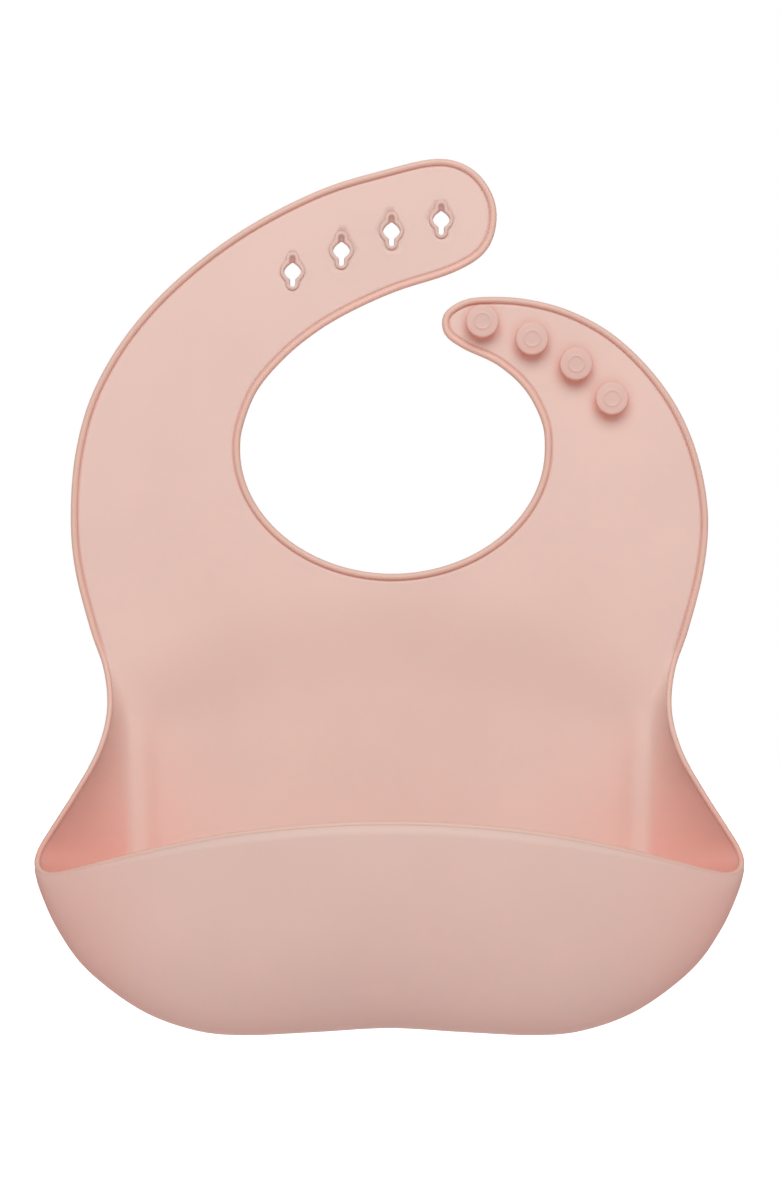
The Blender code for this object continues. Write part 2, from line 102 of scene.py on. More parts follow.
LEVEL_COLUMNS = 10  # beside the waist, in which the strip along the band starts level
RIM_FADE = 8.0  # depth over which the bead thins into the pocket's rim
LOW_STEP = (-70.0, 30.0)  # height where the sunken panel's step sharpens, and over how much
PANEL_HALF = 96.0
SHALLOWER = 0.45  # share of the dish that is lost towards the floor
SHALLOWER_AT = (-85.0, 90.0)

SIDE = (
    CORNER,
    (112.7, -130.0),
    (109.7, -124.2),
    (102.4, -111.8),
    (96.1, -99.3),
    (93.5, -86.5),
    (95.2, -73.4),
    (99.7, -60.1),
    (104.8, -40.1),
    (106.3, -22.0),
)
HOLE_STRAP = (
    (-104.6, -0.5),
    (-98.6, 19.9),
    (-86.6, 39.9),
    (-69.5, 58.0),
    (-48.0, 74.0),
    (-23.7, 86.5),
    (-2.3, 93.2),
    (16.0, 97.1),
    (27.5, 93.8),
    (34.4, 85.0),
    (35.6, 75.0),
    (31.6, 65.6),
    (21.0, 59.0),
    (2.7, 53.0),
    (-12.0, 46.5),
    (-23.7, 39.7),
    (-34.5, 31.0),
    (-44.0, 19.9),
    (-48.8, 8.0),
)
STUD_STRAP = (
    (50.9, 9.0),
    (45.3, 19.9),
    (36.0, 28.3),
    (24.5, 33.8),
    (18.4, 38.6),
    (18.0, 45.0),
    (23.4, 49.4),
    (31.0, 51.0),
    (45.0, 50.4),
    (60.0, 46.5),
    (74.5, 38.6),
    (87.3, 26.5),
    (97.0, 12.4),
    (103.4, -4.0),
)
BAND = (
    (90.6, -75.0),
    (88.4, -84.0),
    (86.6, -98.0),
    (85.6, -112.0),
    (85.0, -126.0),
    (83.6, -141.0),
    (78.6, -154.5),
    (68.5, -165.0),
    (57.0, -169.6),
    (46.0, -171.0),
    (23.0, -171.0),
    (0.0, -171.0),
)
BAND_CORNER = BAND[5]  # where the side wall ends and the floor starts
KEEL = (
    CORNER,
    (111.8, -142.7),
    (106.1, -155.3),
    (96.6, -168.3),
    (79.9, -180.9),
    (63.1, -187.4),
    (47.3, -189.2),
    (23.7, -188.2),
    (0.0, -186.9),
)
RIM_LINE = (
    CORNER,
    (109.0, -137.4),
    (101.6, -136.1),
    (88.8, -132.5),
    (71.1, -127.8),
    (49.3, -123.3),
    (24.7, -120.4),
    (0.0, -119.4),
)
NECK_X = 1.0
NECK_HALF_WIDTH = 50.8
NECK_DROP = 41.3
NECK_POWER = 1.98

# Fastener
HOLES = ((-32.3, 59.5), (-16.0, 66.5), (0.7, 73.0), (17.3, 76.8))
HOLE_HALF_WIDTH = 2.85
HOLE_POWER = 1.55
LOBE_RADIUS = 0.93
LOBE_REACH = 4.2
HOLE_SQUARER = 0.25  # added to the power for each millimetre of growth
NECK_LIMIT = 20.0
NECK_FROM = 0.6  # share of the diamond's radius from which a lobe counts
BLEND_POWER = 14  # of the union of the diamond and its lobes
LIP_PROFILE = (  # outward from the edge of the hole, depth, and how far the upper lobe is shut
    (1.32, 1.4, 0.0),
    (1.3, 1.65, 0.0),
    (1.22, 1.95, 0.0),
    (1.05, 2.18, 0.0),
    (0.8, 2.28, 0.0),
    (0.5, 2.28, 0.0),
    (0.22, 2.2, 0.0),
    (0.05, 2.02, 0.0),
    (0.0, 1.8, 0.05),
    (-0.02, 1.2, 0.2),
    (-0.06, 0.6, 0.5),
    (-0.08, 0.15, 0.9),
    (-0.06, -0.02, 0.9),
    (0.0, -0.08, 0.9),
    (0.3, -0.08, 0.6),
    (0.8, -0.05, 0.3),
    (1.1, 0.1, 0.0),
)
STUDS = ((30.8, 42.4), (47.3, 36.6), (61.9, 28.2), (73.8, 16.8))
STUD_PROFILE = (  # radius, height above the sheet; from the crown to the foot
    (0.0, 5.12),
    (1.2, 5.12),
    (2.05, 5.1),
    (2.25, 5.14),
    (2.4, 5.24),
    (2.6, 5.28),
    (2.8, 5.24),
    (2.95, 5.13),
    (3.15, 5.08),
    (4.1, 5.07),
    (4.75, 5.04),
    (5.12, 4.95),
    (5.36, 4.78),
    (5.47, 4.5),
    (5.5, 4.1),
    (5.48, 3.2),
    (5.36, 2.9),
    (4.95, 2.68),
    (4.3, 2.55),
    (3.1, 2.5),
    (2.75, 2.35),
    (2.62, 2.0),
    (2.6, 1.0),
    (2.68, 0.5),
    (2.95, 0.2),
    (3.4, 0.03),
    (3.9, -0.1),
)

# Seams where the sheet is split: two heights and a depth, and for each strap a point on the cut and
# the direction across it
CHEST_SEAM = -12.0
WAIST_SEAM = -50.0
MOUTH_SEAM = 9.0
HOLE_SEAM = ((-70.5, 25.0), (0.42, 0.91))
STUD_SEAM = ((50.5, 10.5), (-0.185, 0.983))

# Camera and light
CAMERA_AT = (0.0002, -0.743, -0.0494)
CAMERA_FOV = 30.1
FLOOR_AT = -0.33
ROOM = (
    ((0.0, -1.0, 0.0), 0.64),
    ((0.0, 0.0, 1.0), 0.25),
    ((0.0, 0.7, -0.7), 0.92),
    ((0.0, 0.0, -1.0), 0.22),
    ((0.0, 0.7, 0.7), 0.12),
)
SOFTBOX_AT = (0.0, -1.32, 0.95)
SOFTBOX_AIM = (0, 0, -0.05)
SOFTBOX_SIZE = (1.5, 1.1)
SOFTBOX_POWER = 24.5
TONE = (0.705, 0.62, 0.555)
EDGE_TONE = (0.75, 0.595, 0.505)
THROUGH = (0.97, 0.37, 0.26)
THROUGH_SHARE = 0.3  # of the light that falls on the flat sheet
# painted shade: the side walls down in the pocket get more of the red translucent light than the
# flat sheet, though they are no thinner
SHADED_WALL_SHARE = 0.46  # at the pocket's corners
# painted shade on the panel beside the band, next to the side walls
BESIDE_BAND_SHADE = 0.07  # added on the panel beside the band
# painted light: less red translucency in the middle of the lower panel shows it a little lighter
PANEL_PAINTED_LIGHT = 0.03  # taken off in the middle of the lower panel
# translucency share on the front wall, a little above the flat sheet's: painted redder shade on the
# down-facing wall
FRONT_SHARE = 0.33
# painted shade towards the front wall's sides, where it turns away
FRONT_SIDE_SHADE = 0.06  # added on the front wall towards its sides
# partly the thinner silicone in the groove, partly painted shade in the crease under the bead
GROOVE_SHARE = 0.2  # added at the bottom of the groove inside the bead
BEAD_SHARE = 0.34
LIP_SHARE = 0.36
STUD_SHARE = 0.4
# painted red glow in the shade round the foot of each stud
STUD_FOOT_PAINTED_GLOW = 0.13  # added on the sheet round the foot of a stud

# Where those shares apply, mostly as painted shade and light: a start and a width. Beyond is the
# way outward from the band.
SHADED_WALL_DOWN = 62.0  # below SIDE_TOP
SHADED_WALL_BOTTOM = (-156.0, 18.0)
WALL_BEYOND = (0.6, 3.0)
WALL_ABOVE = 12  # above SIDE_TOP
BESIDE_STARTS = (-26.0, 22.0)
BESIDE_ENDS = (-2.6, 3.0)
LOW_PANEL = (-76.0, 50.0)
PANEL_MIDDLE = (-24.0, 20.0)
GLOW_REACH = (8.2, 3.6)
FRONT_SIDE_AT = (62.0, 42.0)
FRONT_FROM = 0.3  # in front of the keel


# Curves


def smooth(points, steps=6):
    """A Catmull-Rom curve through the points."""
    knots = np.array(points, float)
    knots = np.vstack([2 * knots[0] - knots[1], knots, 2 * knots[-1] - knots[-2]])
    curve = []
    for a, b, c, d in zip(knots, knots[1:], knots[2:], knots[3:]):
        for t in np.arange(steps) / steps:
            cubic = (3 * b - a - 3 * c + d) * t**3
            square = (2 * a - 5 * b + 4 * c - d) * t**2
            curve.append((2 * b + (c - a) * t + square + cubic) / 2)
    curve.append(knots[-2])
    return np.array(curve)


def half_smooth(points):
    """A smooth curve that ends on the middle line and crosses it squarely."""
    (x, z), steps = points[-2], 6
    return smooth([*points, (-x, z)], steps)[:-steps]


def mirrored(points):
    return [(-x, z) for x, z in points]


def lengths(path):
    steps = np.linalg.norm(np.diff(path, axis=0), axis=1)
    return np.concatenate([[0], np.cumsum(steps)])


def even(path, count):
    reach = lengths(path)
    wanted = np.linspace(0, reach[-1], count)
    columns = [np.interp(wanted, reach, path[:, i]) for i in range(path.shape[1])]
    return np.stack(columns, axis=1)


def inward(path):
    """Unit vectors to the right-hand side of a path, where the silicone is."""
    along = np.gradient(path, axis=0)
    along /= np.linalg.norm(along, axis=1)[:, None]
    return np.stack([along[:, 1], -along[:, 0]], axis=1)


def neck_arc(count=17):
    points = []
    for angle in np.linspace(math.pi, 0, count):
        across = math.copysign(abs(math.cos(angle)) ** (2 / NECK_POWER), math.cos(angle))
        down = abs(math.sin(angle)) ** (2 / NECK_POWER)
        points.append((NECK_X + NECK_HALF_WIDTH * across, -NECK_DROP * down))
    return points


def smoothstep(t):
    t = np.clip(t, 0, 1)
    return t * t * (3 - 2 * t)


def rising(value, start, width):
    """From 0 at the start to 1 a width above it."""
    return smoothstep((value - start) / width)


def falling(value, start, width):
    """From 0 at the start to 1 a width below it."""
    return smoothstep((start - value) / width)


def edge_rise(z):
    """How far the side edge stands in front of the flat sheet."""
    share = np.clip((FLARE_TOP - z) / (FLARE_TOP - CORNER_Z), 0, 1)
    return (KEEL_DEPTH - HALF_SHEET) * share**FLARE_POWER


def rim_depth(x):
    share = np.clip(1 - (x / CORNER_X) ** 2, 0, 1)
    return KEEL_DEPTH + (MOUTH_DEPTH - KEEL_DEPTH) * share**MOUTH_POWER


def bead_fade(z):
    return smoothstep((BEAD_FADE[0] - z) / (BEAD_FADE[0] - BEAD_FADE[1]))


def bead_radius(z):
    return BEAD + (THIN_RIM - BEAD) * bead_fade(z)


def bead_rise(z):
    return BEAD_RISE * (1 - bead_fade(z))


# Middle surface


class Surface:
    """Points of the middle surface with the height of each face above it."""

    def __init__(self):
        self.points = []
        self.front = []
        self.faces = []
        self.index = {}

    def add(self, point, front=HALF_SHEET):
        key = tuple(round(float(c), 3) for c in point)
        if key not in self.index:
            self.index[key] = len(self.points)
            self.points.append(tuple(float(c) for c in point))
            self.front.append(front)
        return self.index[key]

    def face(self, corners):
        kept = []
        for corner in corners:
            if corner not in kept:
                kept.append(corner)
        if len(kept) > 2:
            self.faces.append(kept)

    def grid(self, rows):
        for a, b in zip(rows, rows[1:]):
            for i in range(len(a) - 1):
                self.face([a[i], a[i + 1], b[i + 1], b[i]])


def through_and_painted_light(points):
    """Share of the light that the sheet lets through instead of reflecting. The flat sheet's share
    is the silicone's own translucency. The extra on the pocket's side walls, beside the band, round
    the stud feet and on the front wall is painted shade, redder where shade falls. The share taken
    off in the middle of the lower panel is painted light.
    """
    x, depth, z = np.abs(points[:, 0]), points[:, 1], points[:, 2]
    band = smooth(BAND)
    beyond = x - np.interp(-z, -band[:, 1], band[:, 0])
    down = falling(z, SIDE_TOP, SHADED_WALL_DOWN) * rising(z, *SHADED_WALL_BOTTOM)
    wall = rising(beyond, *WALL_BEYOND) * (z < SIDE_TOP + WALL_ABOVE)
    beside = rising(beyond, *BESIDE_STARTS) * falling(beyond, *BESIDE_ENDS)
    low = falling(z, *LOW_PANEL)
    # painted shade: a larger, redder share on the side walls down in the pocket
    share = THROUGH_SHARE + (SHADED_WALL_SHARE - THROUGH_SHARE) * wall * down
    # painted shade beside the band
    share = share + BESIDE_BAND_SHADE * beside * low * (z > FLOOR_Z)
    # painted light in the middle of the lower panel
    share = share - PANEL_PAINTED_LIGHT * falling(beyond, *PANEL_MIDDLE) * low
    # painted red glow in the studs' contact shade
    for centre in STUDS:
        off = np.hypot(points[:, 0] - centre[0], z - centre[1])
        share = share + STUD_FOOT_PAINTED_GLOW * falling(off, *GLOW_REACH)
    # painted shade: the front wall's share, more towards its sides
    front = FRONT_SHARE + FRONT_SIDE_SHADE * rising(x, *FRONT_SIDE_AT)
    return np.where(depth > KEEL_DEPTH + FRONT_FROM, front, share)


def groove(offset):
    dip = math.exp(-(((offset - GROOVE_AT) / GROOVE_WIDTH) ** 2) * GROOVE_SHARPNESS)
    return HALF_SHEET - GROOVE_DEEP * dip


def distance_to(path, points):
    """Shortest distance from each point to a path."""
    a, b = path[:-1], path[1:]
    along = b - a
    size = (along**2).sum(axis=1)
    offset = points[:, None] - a[None]
    t = np.clip((offset * along[None]).sum(axis=2) / size[None], 0, 1)
    nearest = a[None] + t[..., None] * along[None]
    return np.linalg.norm(points[:, None] - nearest, axis=2).min(axis=1)


def forward(z):
    """How far the lower part of the back wall has come forward at a height."""
    share = np.clip((TILT_TOP - z) / (TILT_TOP - FLOOR_Z), 0, 1)
    return TILT * share**2


def panel_depth(points, band):
    """Depth of the middle of the sheet at flat points: the panel below the arch is sunken."""
    x, z = points[:, 0], points[:, 1]
    arch = ARCH_TOP - ARCH_DROP * (np.abs(x) / ARCH_HALF) ** 2
    below = falling(z, arch, ARCH_SOFT)
    edge = smoothstep((distance_to(band, points) - DISH_EDGE[0]) / (DISH_EDGE[1] - DISH_EDGE[0]))
    low = falling(z, *LOW_STEP)
    sideways = 1 - (np.abs(x) / PANEL_HALF) ** 4 * (1 - low)
    deep = DISH * (1 - SHALLOWER * falling(z, *SHALLOWER_AT))
    sunken = deep * below * (edge * low + sideways * (1 - low))
    return HALF_SHEET + forward(z) - sunken


def straps_edge():
    """The edge from the left side wall, round both straps, to the right side wall."""
    path = smooth([*mirrored(SIDE), *HOLE_STRAP, *neck_arc(), *STUD_STRAP, *SIDE[::-1]])
    low = path[:, 1] < SIDE_TOP
    first = int(np.argmin(low))
    last = len(low) - int(np.argmin(low[::-1]))
    path = path[first:last]
    for end in (0, -1):
        path[end] = (math.copysign(side_x(SIDE_TOP), path[end, 0]), SIDE_TOP)
    return even(path, int(lengths(path)[-1] / STEP))


def side_x(z):
    path = smooth(SIDE)
    return float(np.interp(z, path[:, 1], path[:, 0]))


def build_straps(surface):
    """The strip of columns round the straps, the chest and the neck."""
    edge = straps_edge()
    side = inward(edge)
    radius = bead_radius(edge[:, 1])
    inner_at = np.full(len(edge), FLAT_OFFSETS[-1])
    near_waist = rising(edge[:, 1], SIDE_TOP, STRIP_OPENS)
    waist_width = side_x(SIDE_TOP) - BAND[0][0]
    inner_at = waist_width + (inner_at - waist_width) * near_waist
    rows = []
    for number in range(len(FLAT_OFFSETS) + 1):
        row = []
        for k, (x, z) in enumerate(edge):
            if number == 0:
                offset, shape = radius[k], HALF_SHEET
            else:
                wanted = FLAT_OFFSETS[number - 1]
                share = (wanted - radius[k]) / (FLAT_OFFSETS[-1] - radius[k])
                offset = radius[k] + (inner_at[k] - radius[k]) * share
                fade = rising(z, *GROOVE_START)
                shape = HALF_SHEET + (groove(wanted) - HALF_SHEET) * fade
            share = 1 - (offset - radius[k]) / (inner_at[k] - radius[k])
            px, pz = np.array((x, z)) + side[k] * offset
            sloped = WALL_START * share + (1 - WALL_START) * share**WALL_POWER
            depth = HALF_SHEET + edge_rise(z) * sloped
            row.append(surface.add((px, depth, pz), shape))
        rows.append(row)
    surface.grid(rows)
    return rows


def half_columns():
    """Right half of the pocket: the outer line and the band, beside the side wall and the floor."""
    band = half_smooth(BAND)
    corner = int(np.argmin(np.linalg.norm(band - np.array(BAND_CORNER), axis=1)))
    side = smooth(SIDE)[::-1]
    side = side[side[:, 1] <= SIDE_TOP]
    side = np.vstack([[(side_x(SIDE_TOP), SIDE_TOP)], side])
    count = int(lengths(side)[-1] / COLUMN)
    side_outer = even(side, count)
    radius = bead_radius(side_outer[:, 1])
    side_outer = side_outer + inward(side_outer) * radius[:, None]
    side_band = even(band[: corner + 1], count)
    keel = half_smooth(KEEL)
    count = int(lengths(keel)[-1] / COLUMN)
    keel_outer = even(keel, count)
    keel_outer = keel_outer + inward(keel_outer) * KEEL_INSET
    keel_outer[0] = side_outer[-1]
    keel_outer[-1, 0] = 0.0
    keel_band = even(band[corner:], count)
    return side_outer, side_band, keel_outer, keel_band


def wall_rows(start, end, depth, rise, roundness, shares):
    """A column of the pocket's wall, from the outer line in to the band."""
    column = []
    for share in shares:
        angle = math.asin(min(1.0, share))
        rounded = 1 - math.cos(angle)
        sloped = WALL_START * share + (1 - WALL_START) * share**WALL_POWER
        height = roundness * rounded + (1 - roundness) * sloped
        x, z = start + (end - start) * share
        column.append((x, depth + rise * height, z))
    return column


def build_pocket(surface, strap_rows):
    """Columns of the pocket's side walls, floor and front."""
    side_outer, side_band, keel_outer, keel_band = half_columns()
    first = np.array([surface.points[row[-1]] for row in strap_rows])
    shares_top = np.linalg.norm(first - first[-1], axis=1)
    shares_top = shares_top / shares_top[0]
    count = len(shares_top)
    columns = []
    for k, (outer, band) in enumerate(zip(side_outer, side_band)):
        blend = float(smoothstep(k / CORNER_BLEND))
        # rows are packed towards the floor end so that the rounding there stays smooth
        shares = shares_top * (1 - blend) + np.sin(np.linspace(math.pi / 2, 0, count)) * blend
        start = float(forward(band[1]))
        rise = float(edge_rise(outer[1])) - start
        columns.append(wall_rows(band, outer, HALF_SHEET + start, rise, 0.0, shares))
    fronts = []
    floor_shares = np.sin(np.linspace(math.pi / 2, 0, count))
    reach = lengths(keel_outer)
    rim = even(half_smooth(RIM_LINE), len(keel_outer))
    rim[0] = side_outer[-1]
    rim[-1, 0] = 0.0
    for k, (outer, band) in enumerate(zip(keel_outer, keel_band)):
        roundness = float(smoothstep(reach[k] / FLOOR_ROUND))
        start = float(forward(band[1]))
        rise = KEEL_DEPTH - HALF_SHEET - start
        if k:
            floor_at = HALF_SHEET + start
            column = wall_rows(band, outer, floor_at, rise, roundness, floor_shares)
            columns.append(column)
        top = rim[k]
        bulge = float(rim_depth(top[0])) - KEEL_DEPTH
        front = []
        for angle in np.linspace(0, math.pi / 2, WALL_ROWS):
            x, z = top + (outer - top) * math.sin(angle)
            front.append((x, KEEL_DEPTH + bulge * math.cos(angle), z))
        fronts.append(front)
    round_corner(columns, fronts, len(side_outer))
    return columns, fronts, len(side_outer)


def round_corner(columns, fronts, sides, reach=8, rounds=10):
    """Rounds off the corner of the free edge, and moves the wall beside it along."""
    ends = columns[sides - reach : sides] + fronts[1 : reach + 1]
    path = np.array([column[0] for column in ends])
    weights = np.sin(np.linspace(0, math.pi, len(path))) ** 2
    moved = path.copy()
    for _ in range(rounds):
        middle = (moved[:-2] + moved[2:]) / 2
        moved[1:-1] += 0.5 * weights[1:-1, None] * (middle - moved[1:-1])
    moved[:, 0] += weights * (path[:, 0].max() - moved[:, 0].max())
    shift = moved - path
    for column, step in zip(ends, shift):
        for row, point in enumerate(column):
            fade = max(0.0, 1 - row / (CORNER_FADE * len(column))) ** 2
            column[row] = tuple(np.array(point) + step * fade)
    fronts[0] = [columns[sides - 1][0]] * len(fronts[0])


def build_surface():
    surface = Surface()
    strap_rows = build_straps(surface)
    columns, fronts, side_count = build_pocket(surface, strap_rows)
    sides = {}
    for sign in (1, -1):
        made = []
        for column in columns:
            made.append([surface.add((sign * x, depth, z)) for x, depth, z in column])
        top = [row[-1] if sign > 0 else row[0] for row in strap_rows]
        made[0] = top
        wall = [[made[k][r] for k in range(len(made))] for r in range(len(made[0]))]
        surface.grid([row[::sign] for row in wall])
        faced = []
        for column in fronts:
            faced.append([surface.add((sign * x, depth, z)) for x, depth, z in column])
        front = [[faced[k][r] for k in range(len(faced))] for r in range(len(faced[0]))]
        surface.grid([row[::sign] for row in front])
        sides[sign] = (made, faced)

    # terrace and step along the band, then the rest of the sheet
    band = np.array([surface.points[c[-1]] for c in sides[1][0]])[:, [0, 2]]
    whole = np.vstack([band * (-1, 1), band[-2::-1]])
    band_ids = [c[-1] for c in sides[-1][0]] + [c[-1] for c in sides[1][0]][-2::-1]
    turned = inward(whole)
    sign = 1 if np.dot(turned[len(turned) // 2], (0, 1)) > 0 else -1
    turned = turned * sign
    # the strip starts level at the waist, so that none of it stands above the first column
    from_top = np.minimum(np.arange(len(whole)), np.arange(len(whole))[::-1])
    level = np.clip(from_top / LEVEL_COLUMNS, 0, 1)
    turned[:, 1] *= level
    turned /= np.linalg.norm(turned, axis=1)[:, None]
    rows = [band_ids]
    for offset in BAND_OFFSETS[1:]:
        row = []
        line = whole + turned * offset
        depths = panel_depth(line, whole)
        for (x, z), depth in zip(line, depths):
            row.append(surface.add((x, depth, z)))
        rows.append(row)
    surface.grid(rows)

    inner = strap_rows[-1]
    left_step = [row[0] for row in rows]
    right_step = [row[-1] for row in rows]
    loop = list(inner) + right_step[1:] + rows[-1][::-1][1:-1] + left_step[:0:-1]
    fill(surface, loop, whole)
    right, left = (
        [c[0] for c in sides[sign][0][:side_count]] + [c[0] for c in sides[sign][1][1:]]
        for sign in (1, -1)
    )
    free = list(strap_rows[0]) + right[1:] + left[-2:0:-1]
    return surface, free, len(strap_rows[0])


def hole_contour(grow, centre, angles, shut=0.0):
    """The star-shaped outline of a fastening hole, grown outward by some distance."""
    points = []
    main = HOLE_HALF_WIDTH + grow
    lobe = LOBE_RADIUS + grow
    power = HOLE_POWER + HOLE_SQUARER * max(grow, 0)
    for angle in angles:
        c, s = abs(math.cos(angle)), abs(math.sin(angle))
        diamond = main / (c**power + s**power) ** (1 / power)
        if c * LOBE_REACH >= lobe * s:
            neck = lobe / c
        else:
            neck = LOBE_REACH * s + math.sqrt(max(lobe**2 - (LOBE_REACH * c) ** 2, 0))
        neck = min(neck, NECK_LIMIT)
        radius = diamond
        if neck > diamond * NECK_FROM:
            radius = (diamond**BLEND_POWER + neck**BLEND_POWER) ** (1 / BLEND_POWER)
        if math.sin(angle) > 0:
            radius -= shut * (radius - diamond)
        points.append(
            (centre[0] + radius * math.cos(angle), centre[1] + radius * math.sin(angle))
        )
    return np.array(points)


def hole_angles(count=88):
    """Angles that space the contour's points evenly along it."""
    angles = np.linspace(0, 2 * math.pi, 1441)
    contour = hole_contour(0.5, (0, 0), angles)
    reach = lengths(contour)
    return np.interp(np.linspace(0, reach[-1], count + 1)[:-1], reach, angles)


ANGLES = hole_angles()


def inside(points, loop):
    """Which points lie inside a closed loop."""
    x, y = points[:, 0], points[:, 1]
    within = np.zeros(len(points), bool)
    for (ax, ay), (bx, by) in zip(loop, np.roll(loop, -1, axis=0)):
        crosses = (ay > y) != (by > y)
        at = (bx - ax) * (y - ay) / (by - ay if by != ay else 1e-12) + ax
        within ^= crosses & (x < at)
    return within


def fill(surface, loop, band):
    """Triangles over the inside of the sheet, round the fastening holes."""
    flat = np.array([surface.points[i] for i in loop])[:, [0, 2]]
    lows, highs = flat.min(axis=0), flat.max(axis=0)
    lattice = []
    for j, z in enumerate(np.arange(lows[1], highs[1], GRID * 0.866)):
        for x in np.arange(lows[0], highs[0], GRID):
            lattice.append((x + (GRID / 2 if j % 2 else 0), z))
    lattice = np.array(lattice)
    lattice = lattice[inside(lattice, flat)]
    lattice = lattice[distance_to(np.vstack([flat, flat[:1]]), lattice) > GRID * 0.55]
    holes = [hole_contour(0.7, centre, ANGLES) for centre in HOLES]
    for hole in holes:
        lattice = lattice[~inside(lattice, hole)]
        lattice = lattice[distance_to(np.vstack([hole, hole[:1]]), lattice) > GRID * 0.45]
    ids = list(loop)
    places = [Vector(p) for p in flat]
    edges = [(i, (i + 1) % len(loop)) for i in range(len(loop))]
    for group in (*holes, lattice):
        depths = panel_depth(group, band)
        start = len(places)
        for (x, z), depth in zip(group, depths):
            ids.append(surface.add((x, depth, z)))
            places.append(Vector((x, z)))
        if group is not lattice:
            edges += [(start + i, start + (i + 1) % len(group)) for i in range(len(group))]
    faces = delaunay_2d_cdt(places, edges, [], 0, 1e-5)[2]
    centres = np.array([np.mean([places[i] for i in face], axis=0) for face in faces])
    keep = inside(centres, flat)
    for hole in holes:
        keep &= ~inside(centres, hole)
    for face, wanted in zip(faces, keep):
        if wanted:
            surface.face([ids[i] for i in face])


# Objects


def to_world(points):
    points = np.asarray(points, float)
    return np.stack([points[:, 0], -points[:, 1], points[:, 2]], axis=1) * MM


def normals_of(points, faces):
    """Smooth normals of the middle surface, towards the front on the straps."""
    made = bmesh.new()
    verts = [made.verts.new(p) for p in points]
    for face in faces:
        try:
            made.faces.new([verts[i] for i in face])
        except ValueError:
            pass
    bmesh.ops.recalc_face_normals(made, faces=made.faces)
    made.normal_update()
    normals = np.array([v.normal[:] for v in made.verts])
    made.verts.index_update()
    kept = [[v.index for v in f.verts] for f in made.faces]
    made.free()
    top = int(np.argmax(np.array(points)[:, 2]))
    if normals[top][1] > 0:
        normals = -normals
        kept = [face[::-1] for face in kept]
    return normals, kept


def build():
    surface, free, strap_count = build_surface()
    points = np.array(surface.points)
    middle = to_world(points)
    normals, faces = normals_of(middle, surface.faces)
    front = np.array(surface.front)[:, None] * MM
    count = len(points)
    skin = np.vstack([middle + normals * front, middle - normals * HALF_SHEET * MM])
    back = [[i + count for i in face[::-1]] for face in faces]
    uses = {}
    for face in faces:
        for a, b in zip(face, face[1:] + face[:1]):
            uses[(a, b)] = True
    rim = [[b, a, a + count, b + count] for a, b in uses if (b, a) not in uses]
    # the groove's extra share: partly thinner silicone, partly painted shade in the crease
    grooved = (HALF_SHEET - np.array(surface.front)) / GROOVE_DEEP
    share = through_and_painted_light(points) + GROOVE_SHARE * grooved
    sheet = (skin, faces + back + rim, np.concatenate([share, share]))

    # the bead runs all round the free edge
    line = points[free]
    z = line[:, 2]
    radius = bead_radius(z)
    lift = bead_rise(z)
    in_front = np.arange(len(free)) >= strap_count
    depth = line[:, 1]
    deep = in_front & (depth > KEEL_DEPTH + 0.5)
    share = rising(depth, KEEL_DEPTH, RIM_FADE) * deep
    radius = radius + (POCKET_RIM - radius) * share
    centre = middle[free] + normals[free] * (lift * MM)[:, None]
    rounded, bands = tube(centre, radius)
    share = np.maximum(through_and_painted_light(line), np.where(in_front & (depth > KEEL_DEPTH), 0, BEAD_SHARE))
    return sheet, (rounded, bands, np.repeat(share, len(rounded) // len(line)))


def tube(centre, radius, around=20):
    """A closed round bead along a loop."""
    count = len(centre)
    along = np.roll(centre, -1, axis=0) - np.roll(centre, 1, axis=0)
    along /= np.linalg.norm(along, axis=1)[:, None]
    side = np.zeros_like(along)
    side[0] = np.cross(along[0], (0, 1, 0))
    for k in range(count):
        before = side[k - 1] if k else side[0]
        side[k] = before - along[k] * np.dot(before, along[k])
        side[k] /= np.linalg.norm(side[k])
    up = np.cross(along, side)
    vertices, faces = [], []
    for k in range(count):
        for turn in np.arange(around) * 2 * math.pi / around:
            spoke = side[k] * math.cos(turn) + up[k] * math.sin(turn)
            vertices.append(centre[k] + spoke * radius[k] * MM)
    # the frame comes round turned by some angle, so the last ring joins the nearest corners
    last = np.array(vertices[-around:])
    gaps = [np.linalg.norm(np.roll(vertices[:around], -s, axis=0) - last) for s in range(around)]
    shift = int(np.argmin(gaps))
    for k in range(count):
        for j in range(around):
            a, b = k * around + j, k * around + (j + 1) % around
            n = (k + 1) % count
            move = shift if n == 0 else 0
            c = n * around + (j + 1 + move) % around
            d = n * around + (j + move) % around
            faces.append([a, b, c, d])
    return np.array(vertices), faces


# Splitting


def beyond(seam):
    (x, z), (dx, dz) = seam
    size = math.hypot(dx, dz)
    return lambda p: ((p[0] / MM - x) * dx + (p[2] / MM - z) * dz) / size > 0


PAST_HOLE_SEAM = beyond(HOLE_SEAM)
PAST_STUD_SEAM = beyond(STUD_SEAM)


def on_stud_strap(x, z):
    return x > 16 and z < 55 or x > 0 and z < 20


def region(p):
    x, depth, z = p[0] / MM, -p[1] / MM, p[2] / MM
    if depth > MOUTH_SEAM:
        return "pocket_front"
    if z < WAIST_SEAM:
        return "pocket_back"
    if z < CHEST_SEAM:
        return "chest"
    if on_stud_strap(x, z):
        return "stud_strap_end" if PAST_STUD_SEAM(p) else "stud_strap_root"
    return "hole_strap_end" if PAST_HOLE_SEAM(p) else "hole_strap_root"


HOLE_PLANE, STUD_PLANE = 3, 4  # their places in what cut_planes returns


def cut_planes():
    planes = [
        ((0, -MOUTH_SEAM, 0), (0, 1, 0)),
        ((0, 0, WAIST_SEAM), (0, 0, 1)),
        ((0, 0, CHEST_SEAM), (0, 0, 1)),
    ]
    for (x, z), (dx, dz) in (HOLE_SEAM, STUD_SEAM):
        planes.append(((x, 0, z), (dx, 0, dz)))
    return planes


